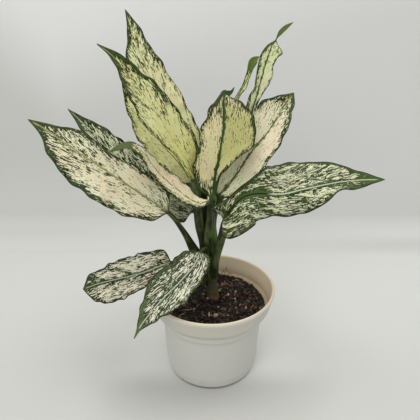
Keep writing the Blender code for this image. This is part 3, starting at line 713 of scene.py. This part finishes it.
def grow_leaf(place, finish, stalk, rib, left, right, faces, fold=(12, 12), curl=(0, 0),
              lobe=(3.0, 3.0), wave=1.6, waves=3.0, phase=0.0, stalk_radius=(2.1, 2.1), ruffle=0.7,
              uneven=0.6, sheath=0.0):
    """Stalk and blade as one closed skin.

    left and right are half widths at the stations in HALF_WIDTH_AT. A point at the share s from midrib to
    margin lies on an arc: its slope is fold + curl * s, and the arc's length is the half width. Waves lift
    the margin by wave * s^2 * sin(2 pi waves u + phase), and finer ones by ruffle, and uneven makes the
    outline run in and out. Along the stalk, each row is a circle, widened at its foot by the sheath, and
    the two forms blend over the blade's first tenth. The underside adds the midrib, which falls off as
    exp(-1.6 (x / RIB_REACH)^2) at x from the middle.
    """
    centres, forward, u, length = leaf_path(stalk, rib)
    normal, side = leaf_frame(forward, faces, u)
    far = u[:, None]
    row = np.arange(len(u))[:, None]
    share = np.linspace(0.0, 1.0, HALF_COLUMNS) ** 1.25
    sign = np.concatenate([-np.ones(HALF_COLUMNS - 1), [0.0], np.ones(HALF_COLUMNS - 1)])[None, :]
    share = np.concatenate([share[:0:-1], share])[None, :]
    is_left = sign > 0
    beat = np.where(is_left, 0.0, 2.2)

    def both(read, values):
        """One value for each row, read from the left or the right half's list."""
        return np.where(is_left, read(values[0], u)[:, None], read(values[1], u)[:, None])

    def ripple(count, start):
        """Sine wave along the blade, shifted on its right half."""
        return np.sin(2 * math.pi * count * far + start)

    width = both(half_width, (left, right))
    scallop = ripple(5.3, 3.0 * phase + beat) + 0.7 * ripple(9.1, phase + 3 * beat)
    width = width + uneven * scallop * np.clip((width - 2.0) / 10.0, 0.0, 1.0)
    stiff = np.clip(width / 8.0, 0.0, 1.0)
    start = np.radians(both(along, fold)) * stiff
    turn = np.radians(both(along, curl)) * stiff
    turn = np.where(np.abs(turn) < 0.001, 0.001, turn)
    slope = start + turn * share
    across = width * (np.sin(slope) - np.sin(start)) / turn
    lift = width * (np.cos(start) - np.cos(slope)) / turn
    wide = np.clip(width / 12.0, 0.0, 1.0)
    lift = lift + wave * wide * share**2 * ripple(waves, phase + beat)
    lift = lift + ruffle * wide * share**3 * ripple(2.7 * waves, 2.3 * phase + 1.7 * beat)
    fade = base_rounding(far) * np.clip(1.0 - far / 0.3, 0.0, 1.0) ** 2
    back = np.where(is_left, lobe[0], lobe[1]) * share**2 * fade
    opened = np.clip((far + 0.02) / OPENING, 0.0, 1.0)
    opened = opened * opened * (3.0 - 2.0 * opened)
    round_radius = np.interp(row, [0, STALK_ROWS], stalk_radius)
    angle = share * math.pi / 2
    foot = 1.0 - np.clip(row / (0.8 * STALK_ROWS), 0.0, 1.0)
    clasp = 1.0 + sheath * foot * foot * (3.0 - 2.0 * foot)
    flat_x, flat_y = width * share, far * length
    vein = flat_y - VEIN_SLOPE * flat_x - VEIN_BEND * CM * flat_x**2
    quilt = QUILT_DEPTH * np.cos(2 * math.pi * vein / QUILT_SPACING) * np.sin(math.pi * share) * wide
    across = opened * across + (1.0 - opened) * round_radius * clasp * np.sin(angle)
    slope = opened * slope
    rise = opened * (lift + quilt) + (1.0 - opened) * 0.5 * (clasp - 1.0) * round_radius * share**2
    up, out, ahead = normal[:, None, :], side[:, None, :], forward[:, None, :]
    skin = np.cos(slope)[..., None] * up - (sign * np.sin(slope))[..., None] * out
    skin = skin / np.linalg.norm(skin, axis=-1, keepdims=True)
    middle = centres[:, None, :] + (sign * across)[..., None] * out + rise[..., None] * up
    middle = middle - (opened * back)[..., None] * ahead
    taper = np.clip(1.0 - far, 0.25, 1.0)
    edge = np.sqrt(np.clip(1.0 - share**6, 0.05, 1.0))
    groove = GROOVE_DEPTH * taper * np.exp(-(across / GROOVE_REACH) ** 2)
    rib_depth = RIB_DEPTH * taper * np.exp(-1.6 * (across / RIB_REACH) ** 2)
    round_half = round_radius * np.cos(angle)
    above = opened * (BLADE_THICKNESS / 2 * edge - groove) + (1.0 - opened) * round_half
    below = opened * (BLADE_THICKNESS / 2 * edge + rib_depth) + (1.0 - opened) * round_half
    upper = middle + above[..., None] * skin
    lower = middle - below[..., None] * skin
    made = grid_object(place + "_leaf", np.concatenate([upper, lower[:, ::-1]], axis=1), finish, ring=True)
    blade = stacked(sign * flat_x, flat_y, width - flat_x) * CM
    state = stacked(far, 0.0 * share, opened)
    under = state + np.array([0.0, 1.0, 0.0])
    for label, front, behind in (("blade", blade, blade), ("growth", state, under)):
        values = np.concatenate([front, behind[:, ::-1]], axis=1).astype(np.float32)
        made.data.attributes.new(label, "FLOAT_VECTOR", "POINT").data.foreach_set("vector", values.ravel())
    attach(made, "root")
    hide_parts("leaf_" + place)


def joined(x, y, z):
    """Vector of three values or numbers, the first of them a value."""
    return node(x.tree, "CombineXYZ", {0: x, 1: y, 2: z})[0]


def cells(x, y):
    """Distance from the nearest centre of a flat pattern of uneven cells, and that cell's random number."""
    pattern = node(x.tree, "TexVoronoi", {"Vector": joined(x, y, 0.0), "Scale": 1.0}, voronoi_dimensions="2D")
    return pattern[0], node(x.tree, "SeparateColor", {0: pattern[1]})[0]


def leaf_finish(place, seed, pale, warm, margin, rib, rib_width, middle=0.2, tip=0.3, tip_from=0.7, base=0.1,
                patch=0.3, grains=False, fleck=(3.1, 9.5), spot=None, rib_side=0.0, right_painted_shade=None,
                mid=(0.040, 0.072, 0.016), rib_ragged=0.0, rib_dark_to=0.0, vein_line=0.25, edge_line=0.07,
                tip_green=0.95, stem=(0.021, 0.028, 0.009), base_tint_and_light=None, base_tint_and_light_to=0.0):
    """Waxy leaf: a pale ground with dark green flecks drawn out along the side veins.

    The ground is cut into uneven cells, fleck[0] to the centimetre across the veins and fleck[1] along
    them. A cell's size number is 0.62 times its random number plus 0.55 times the distance from its centre.
    It is dark where that number is below the cover, or with grains, above one less the cover. Cover is
    middle over the blade and rises towards each margin by (amount, width), the tip, the base and a spot
    of (from, to, half width, amount). A vein's number is along - slope * across - bend * across^2. A
    tint colours the ground from the base up to its given reach; on the upper right leaf it is painted light
    over the shadow the centre leaf casts. A painted shade darkens the middle of the right half, the
    midrib is dark up to rib_dark_to, and the lighter streaks along the stalk are painted highlights.
    """
    made, tree, shader = new_material(place.capitalize() + "_leaf", 0.40)
    shader.inputs["Specular IOR Level"].default_value = 0.17
    x, y, inset = node(tree, "SeparateXYZ", {0: attribute(tree, "blade")[1]})
    reach, under, opened = node(tree, "SeparateXYZ", {0: attribute(tree, "growth")[1]})
    off = figure("ABSOLUTE", x)
    right = figure("LESS_THAN", x, 0.0)
    vein = y - VEIN_SLOPE * off - VEIN_BEND * off * off
    lot = 37.0 * right + 11.0 * seed
    sway = grain(joined(4.0 * x, 4.0 * y, seed), 1.0, 3.0, 0.6) - 0.5
    spread, chance = cells(fleck[0] * vein + 2.2 * sway + lot, fleck[1] * off + 1.2 * sway)
    dot_spread, dot_chance = cells(7.0 * vein + sway + lot, 16.0 * off + sway)
    broad = grain(joined(0.9 * vein, 0.6 * off, lot), 1.0) - 0.5
    cloud = grain(joined(0.5 * x, 0.3 * y, seed + 57.0), 1.0)
    thread = grain(joined(11.0 * vein, 0.9 * off, lot + 83.0), 1.0)
    (left_amount, left_width), (right_amount, right_width) = margin
    width = (right_width - left_width) * right + left_width
    amount = (right_amount - left_amount) * right + left_amount
    cover = middle + amount * between(figure("DIVIDE", inset, width), 1.0, 0.0)
    cover = cover + tip * between(reach, tip_from, 0.98) + base * between(reach, 0.2, 0.0) + patch * broad
    if rib_side:
        cover = cover + rib_side * between(off, 0.42, 0.08)
    if spot:
        start, stop, half, extra = spot
        window = between(reach, start - 0.05, start) * between(reach, stop + 0.05, stop)
        cover = cover + extra * window * between(off, half, 0.4 * half)
    size = 0.62 * chance + 0.55 * spread + 0.15 * sway
    level = size - 1.0 + cover if grains else cover - size
    dots = between(0.68 * cover - (0.8 * dot_chance + 0.5 * dot_spread), -0.03, 0.02)
    blots = figure("MAXIMUM", between(level, -0.025, 0.025), 0.95 * dots)
    ground = blend(between(cloud, 0.4, 0.6), pale, warm)
    # Painted shade darkens the middle of the right half.
    if right_painted_shade:
        ground = blend(right * between(figure("ABSOLUTE", reach - 0.5), 0.34, 0.12), ground, right_painted_shade)
    # A tint at the base; on the upper right leaf it is painted light over the centre leaf's shadow.
    if base_tint_and_light:
        ground = blend(0.8 * between(reach, base_tint_and_light_to, 0.0), ground, base_tint_and_light)
    vein_gap = figure("PINGPONG", vein + 0.25 * sway, QUILT_SPACING * CM / 2)
    streak = 0.22 * between(thread, 0.56, 0.7) + vein_line * between(vein_gap, 0.05, 0.0)
    if not grains:
        streak = streak + 0.4 * between(level, -0.3, 0.02)
    green = blend(between(level + 0.6 * broad, 0.12, 0.5), DARK_GREEN, mid)
    colour = blend(blots, blend(streak, ground, WASH), green)
    edge = between(inset + 0.06 * sway, edge_line, edge_line * 0.5)
    colour = blend(0.9 * edge, colour, DARK_GREEN)
    if rib_dark_to:
        rib = blend(between(reach, rib_dark_to, rib_dark_to + 0.05), DARK_GREEN, rib)
    rib_edge = off + rib_ragged * (chance - 0.5) + rib_width * 0.4 * reach
    colour = blend(between(rib_edge, rib_width * 1.2, rib_width * 0.85), colour, rib)
    colour = blend(between(reach, tip_green, tip_green + 0.03), colour, mid)
    colour = blend(0.4 * under, colour, UNDERSIDE)
    # Lighter lengthwise streaks on the stalk are painted highlights.
    painted_stalk_highlight = grain(joined(8.0 * x, 0.35 * y, lot), 1.0, 3.0)
    stalk_colour_and_highlight = blend(between(painted_stalk_highlight, 0.44, 0.64), stem, tuple(4.2 * part for part in stem))
    on_blade = between(opened, 0.1, 0.6)
    put(blend(on_blade, stalk_colour_and_highlight, colour), shader.inputs["Base Color"])
    put(0.26 + 0.12 * on_blade + 0.14 * thread, shader.inputs["Roughness"])
    roughen(shader, thread - 0.8 * between(vein_gap, 0.1, 0.0), 0.3, 0.0004)
    return made


# The two low leaves are old and hang out over the pot's rim: dark green, with cream flecks in two bands
# between the pale midrib and the margin. The left one has lost its point.
finish = leaf_finish(
    "low_left", 1.0, (0.72, 0.69, 0.51), (0.76, 0.68, 0.52), middle=0.36, grains=True,
    margin=((0.4, 0.5), (0.35, 0.5)), tip=0.12, base=0.15, fleck=(3.4, 10.0), patch=1.0,
    rib=(0.36, 0.40, 0.26), rib_width=0.075, rib_side=0.35, edge_line=0.13)
grow_leaf(
    "low_left", finish,
    stalk=[seat(96, -172, 2.3), seat(99, -172, 2.6), (-16, 4, 110), (-29, -7, 131)],
    rib=[(-42, -15, 137), (-57, -18, 133), (-71, -20, 128), (-98, -23, 122), (-118, -26, 118),
         (-133, -28, 113)],
    left=(13, 15, 21, 23, 14), right=(15, 20, 20, 15, 9), faces=((10, 56), (11, 42), (10, 40)), fold=(14, 4),
    lobe=(4, 6), phase=0.6, stalk_radius=(2.2, 1.9))
finish = leaf_finish(
    "low_front", 2.0, (0.72, 0.72, 0.54), (0.76, 0.73, 0.58), middle=0.44, grains=True,
    margin=((0.35, 0.5), (0.6, 0.8)), tip=0.35, base=0.05, fleck=(3.4, 10.0), patch=1.0,
    rib=(0.44, 0.48, 0.36), rib_width=0.075, rib_side=0.3, edge_line=0.13, mid=(0.085, 0.12, 0.04),
    tip_green=0.88)
grow_leaf(
    "low_front", finish,
    stalk=[seat(106, -122, 2.3), seat(111, -122, 2.5), (-4, -8, 136), (-5, -14, 150), (-7, -21, 157)],
    rib=[(-11, -29, 157), (-17, -37, 148), (-31, -46, 134), (-47, -57, 122), (-61, -69, 110),
         (-69, -77, 101), (-73, -81, 94)],
    left=(14, 19, 19, 11, 2), right=(16, 20, 22, 11, 2), faces=((-30, 50), (-16, 33), (-25, 36)),
    fold=(14, 8), lobe=(9, 5), phase=2.0, stalk_radius=(2.2, 1.9))

# The broad leaf on the right is bent over where it leaves its stalk, so its near half hangs like a flap.
# It is the most densely flecked one, and its midrib is pale.
finish = leaf_finish(
    "right_broad", 3.0, (0.67, 0.69, 0.455), (0.65, 0.64, 0.43), middle=0.48, grains=True,
    margin=((0.85, 0.42), (0.4, 0.4)), tip=0.5, tip_from=0.8, fleck=(3.5, 11.0), rib=(0.46, 0.50, 0.34),
    rib_width=0.08, rib_dark_to=0.34, rib_side=0.3, spot=(0.20, 0.33, 0.36, 0.9), edge_line=0.15, patch=1.2,
    mid=(0.055, 0.095, 0.02), tip_green=0.94)
grow_leaf(
    "right_broad", finish,
    stalk=[seat(112, -76, 3.7), (4, -6, 136), (9, -11, 160)],
    rib=[(14, -14, 183), (17, -21, 196), (22, -24, 206), (30, -26, 214.5), (41, -27, 218), (54, -26, 217.5),
         (68, -24, 217), (83, -22, 220), (102, -20, 223.5), (121, -18, 226.5), (141, -18, 228.5),
         (163, -18, 229)],
    left=(28, 20, 10, 12, 24, 34, 42, 41, 32, 22, 13, 6),
    right=(30, 28, 30, 26, 25, 22.5, 23.5, 21.5, 17, 12.5, 11, 5.5),
    faces=((-44, 51), (-5, 32), (-1, 42), (-1, 48), (0, 31)),
    fold=((46, 20, -27, -5, 2), (56, 10, -12, 20, 1)), curl=(0, (-37, -42, -36, 10, -3)), lobe=(16, 9),
    waves=4.0, phase=1.0, stalk_radius=(3.6, 4.6), sheath=0.7)

# The two broad leaves on the left lie one behind the other. The front one is mostly cream with a dark band
# along its lower margin, and the rear one is dark with many flecks.
finish = leaf_finish(
    "left_broad", 4.0, (0.745, 0.715, 0.51), (0.745, 0.65, 0.46), middle=0.22,
    margin=((0.55, 0.8), (0.45, 0.6)), tip=0.34, tip_from=0.3, base=0.25, patch=0.8, fleck=(3.5, 8.0),
    rib_side=0.12, rib=(0.26, 0.28, 0.10), rib_width=0.11, rib_ragged=0.06, vein_line=0.4)
grow_leaf(
    "left_broad", finish,
    stalk=[seat(118, -165, 4.0), (-18, -2, 142), (-29, -14, 173)],
    rib=[(-42, -25, 198), (-54, -26, 208), (-76, -27, 225), (-102, -28, 245), (-128, -27, 264),
         (-149, -26, 280), (-161, -25, 287)],
    left=(14, 28, 30, 21, 5), right=(18, 20, 17, 17, 4), faces=((14, 44), (13, 39), (10, 39)), fold=(10, 2),
    lobe=(2, 3), stalk_radius=(4.2, 2.0), sheath=0.9)
finish = leaf_finish(
    "left_rear", 5.0, (0.68, 0.70, 0.49), (0.66, 0.67, 0.45), middle=0.37, grains=True,
    margin=((0.4, 0.6), (0.3, 0.5)), fleck=(3.6, 8.0), patch=0.8, rib=(0.30, 0.34, 0.20), rib_width=0.07,
    edge_line=0.12)
grow_leaf(
    "left_rear", finish,
    stalk=[seat(126, 128, 2.1), (-10, 17, 146), (-13, 24, 164)],
    rib=[(-19, 27, 176), (-39, 25, 192), (-65, 27, 210), (-91, 31, 229), (-111, 35, 247), (-124, 38, 262),
         (-136, 41, 273), (-148, 44, 284)],
    left=(26, 27, 25, 16, 4), right=(20, 23, 19, 14, 4), faces=((8, 44), (14, 48), (8, 38)), fold=(25, 7),
    waves=4.0, phase=1.5)

# The narrow leaf between them and the upper ones is young and peach coloured. Its tip has bent over and
# curled shut.
finish = leaf_finish(
    "left_curled", 6.0, (0.72, 0.66, 0.43), (0.74, 0.61, 0.42), middle=0.16,
    margin=((0.52, 0.6), (0.35, 0.3)), tip=0.5, tip_from=0.55, tip_green=0.80, vein_line=0.4,
    mid=(0.075, 0.10, 0.025), rib=(0.10, 0.11, 0.04), rib_width=0.06, rib_ragged=0.1, fleck=(4.4, 10.0))
grow_leaf(
    "left_curled", finish,
    stalk=[seat(134, -78, 2.3), (-4, -2, 154), (-3, -6, 176), (-2, -10, 193)],
    rib=[(-3, -13, 203), (-12, -16, 204), (-31, -20, 218), (-50, -25, 239), (-57, -30, 252), (-63, -36, 263),
         (-71, -41, 269), (-79, -46, 268), (-88, -51, 264)],
    left=(5, 9, 10, 8, 3), right=(7, 13, 11, 5, 2), faces=((10, 62), (4, 66), (0, 48)), fold=(0, 0),
    lobe=(1, 1), wave=0.8, stalk_radius=(2.4, 3.4), sheath=0.9)

# The three upper left leaves stand one behind the other and lean back: yellowish cream with a thin dark
# margin and most of their flecks near the edge and the tip.
finish = leaf_finish(
    "behind_upper_left", 7.0, (0.74, 0.74, 0.36), (0.76, 0.72, 0.38), margin=((0.45, 0.6), (0.45, 0.6)),
    rib=(0.16, 0.20, 0.06), rib_width=0.07)
grow_leaf(
    "behind_upper_left", finish,
    stalk=[seat(130, 166, 2.1), (-12, 9, 165), (-17, 10, 195)],
    rib=[(-21, 11, 214), (-32, 14, 233), (-47, 16, 251), (-63, 18, 276), (-76, 20, 298), (-86, 22, 318)],
    left=(14, 21, 23, 15, 5), right=(9, 12, 13, 10, 4), faces=((30, 37), (20, 34), (18, 35)), fold=(22, 6),
    waves=4.0, phase=2.5)
finish = leaf_finish(
    "upper_left", 8.0, (0.69, 0.69, 0.34), (0.69, 0.64, 0.31), margin=((0.48, 0.7), (0.52, 0.75)),
    tip=0.50, tip_from=0.4, patch=1.0, rib=(0.42, 0.43, 0.17), rib_width=0.04, base_tint_and_light=(0.58, 0.53, 0.15),
    base_tint_and_light_to=0.6)
grow_leaf(
    "upper_left", finish,
    stalk=[seat(137, -150, 2.9), (-9, 2.5, 151), (-13, 0, 172), (-15, 0, 194)],
    rib=[(-17, 3, 221), (-25, 1, 243), (-38, 0, 264), (-50, -2, 287), (-71, -5, 318), (-86, -8, 338),
         (-98, -10, 348)],
    left=(12, 14, 25, 16, 2), right=(10, 21, 18, 12, 4), faces=((34, 42), (18, 34), (26, 36)), fold=(30, 6),
    wave=1.2, phase=1.0, stalk_radius=(2.9, 4.6), sheath=1.0)
finish = leaf_finish(
    "top_left", 9.0, (0.72, 0.73, 0.41), (0.74, 0.69, 0.39), middle=0.16,
    margin=((0.46, 0.65), (0.46, 0.55)), tip=0.34, tip_from=0.45, patch=0.9, rib=(0.33, 0.37, 0.14),
    rib_width=0.05, base_tint_and_light=(0.52, 0.52, 0.20), base_tint_and_light_to=0.4)
grow_leaf(
    "top_left", finish,
    stalk=[seat(139, 100, 2.1), (-7, 15, 168), (-8, 20, 195)],
    rib=[(-9, 24, 217), (-28, 36, 249), (-51, 49, 287), (-68, 58, 325), (-80, 64, 356), (-86, 68, 377)],
    left=(15, 26, 26, 17, 3), right=(18, 21, 22, 14, 7), faces=((20, 25), (17, 24), (16, 25)), wave=1.4,
    waves=4.0, phase=0.5, stalk_radius=(2.1, 4.2))

# The leaf at the upper right leans back behind the centre one: pinkish cream with an olive midrib.
# Its base is painted paler: painted light over the shadow the centre leaf casts on it.
finish = leaf_finish(
    "right_upper", 10.0, (0.75, 0.70, 0.49), (0.75, 0.64, 0.47), middle=0.13,
    margin=((0.56, 0.8), (0.56, 0.7)), tip=0.34, tip_from=0.5, vein_line=0.35, rib=(0.11, 0.14, 0.03),
    rib_width=0.18, rib_ragged=0.24, base_tint_and_light=(0.90, 0.88, 0.62), base_tint_and_light_to=0.55)
grow_leaf(
    "right_upper", finish,
    stalk=[seat(141, 5, 2.2), (3, 8.3, 155), (1, 9, 168), (2, 10.5, 183)],
    rib=[(8, 12, 200), (22, 18, 217), (42, 25, 246), (57, 35, 261), (74, 49, 284), (86, 60, 298)],
    left=(16, 25, 24, 24, 10), right=(14, 22, 21, 15, 7), faces=((-18, 33), (-14, 33), (-11, 33)),
    fold=(24, 12), wave=1.2, stalk_radius=(2.3, 5.6))

# The centre leaf stands upright, and its tip has bent back into a small hook: yellow green with a strong
# dark midrib.
# The middle of its right half is painted darker: painted shade.
finish = leaf_finish(
    "centre", 11.0, (0.64, 0.59, 0.31), (0.66, 0.57, 0.33), middle=0.16, right_painted_shade=(0.42, 0.40, 0.155),
    margin=((0.56, 0.8), (0.58, 0.7)), tip=0.46, tip_from=0.4, base=0.6, patch=0.5,
    rib=(0.028, 0.060, 0.010), rib_width=0.24, rib_ragged=0.2, vein_line=0.3, stem=(0.026, 0.046, 0.009))
grow_leaf(
    "centre", finish,
    stalk=[seat(143, -44, 2.3), (0, 3, 160), (-1, 2, 186)],
    rib=[(1, -1, 204), (2, 1, 215.5), (3.5, 3.5, 226.5), (6, 6, 238), (8, 10, 250), (10, 14, 262),
         (11.5, 20, 275.5), (12, 27, 288), (12, 33, 296.5), (13, 39, 299.5), (16, 45, 299.5),
         (20, 50, 300.5), (23, 53, 304.5)],
    left=(18, 17.5, 25, 24, 23, 24, 19.5, 15, 6, 3), right=(3, 4, 8, 18, 29, 33, 30.5, 25, 12, 4),
    faces=((1, 10), (2, 8), (14, 20)), fold=(18, (62, 45, 15, 10, 10)), wave=1.2, phase=1.2,
    stalk_radius=(2.3, 4.0), sheath=1.0)

# The two youngest leaves are still narrow and half rolled. The last one twists and runs out in a long
# green tail.
finish = leaf_finish(
    "second_youngest", 12.0, (0.52, 0.54, 0.22), (0.54, 0.54, 0.24), middle=0.24,
    margin=((0.4, 0.2), (0.3, 0.15)), tip=0.6, tip_from=0.5, tip_green=0.72, mid=(0.085, 0.13, 0.018),
    rib=(0.14, 0.18, 0.04), rib_width=0.07, fleck=(4.4, 10.0))
grow_leaf(
    "second_youngest", finish,
    stalk=[seat(147, 52, 2.0), (2, 20, 182), (9, 31, 225), (13, 39, 257)],
    rib=[(17.5, 44, 272.5), (22, 48, 284), (26, 52, 293.5), (30.5, 56, 301), (35.5, 60, 309),
         (38.5, 63, 316.5), (40.5, 66, 324), (44, 70, 330), (49.5, 73, 333)],
    left=(3, 3, 3, 2, 2, 3, 3, 4), right=(3, 3, 2.5, 2, 3.5, 2, 3, 5), faces=((10, 25), (8, 25), (-6, 25)),
    fold=(24, 24), lobe=(0, 0), wave=0.4, ruffle=0.2, uneven=0.2, stalk_radius=(2.0, 1.9))
finish = leaf_finish(
    "youngest", 13.0, (0.60, 0.64, 0.34), (0.64, 0.64, 0.40), margin=((0.62, 0.5), (0.42, 0.3)),
    tip=0.35, tip_from=0.5, tip_green=0.80, mid=(0.085, 0.13, 0.025), rib=(0.06, 0.09, 0.02), rib_width=0.12,
    rib_ragged=0.15, fleck=(4.4, 10.0))
grow_leaf(
    "youngest", finish,
    stalk=[(-4, 7.7, 153.3), (-3, 12, 168), (0, 15.5, 184), (13, 26, 222), (24, 37, 248)],
    rib=[(36.5, 45, 270.5), (41.5, 48, 280), (45.5, 51, 294), (48.5, 54, 304.5), (51, 56, 314),
         (54.5, 60, 326.5), (57.5, 63, 335), (61, 66, 342.5), (66, 70, 350), (69.5, 72, 355.5),
         (75, 75, 360.5), (83, 78, 365.5)],
    left=(6, 8, 8.5, 8, 5, 6, 7, 8, 7.5, 5, 0.8, 2.2, 2.2),
    right=(2, 2, 3, 4.5, 7, 9.5, 10.5, 8.5, 10, 12.5, 1, 2.2, 2.2), faces=((10, 25), (6, 25), (10, 25)),
    fold=(16, 8), lobe=(0, 0), wave=0.6, waves=5.0, ruffle=0.3, uneven=0.2, stalk_radius=(1.9, 2.0))
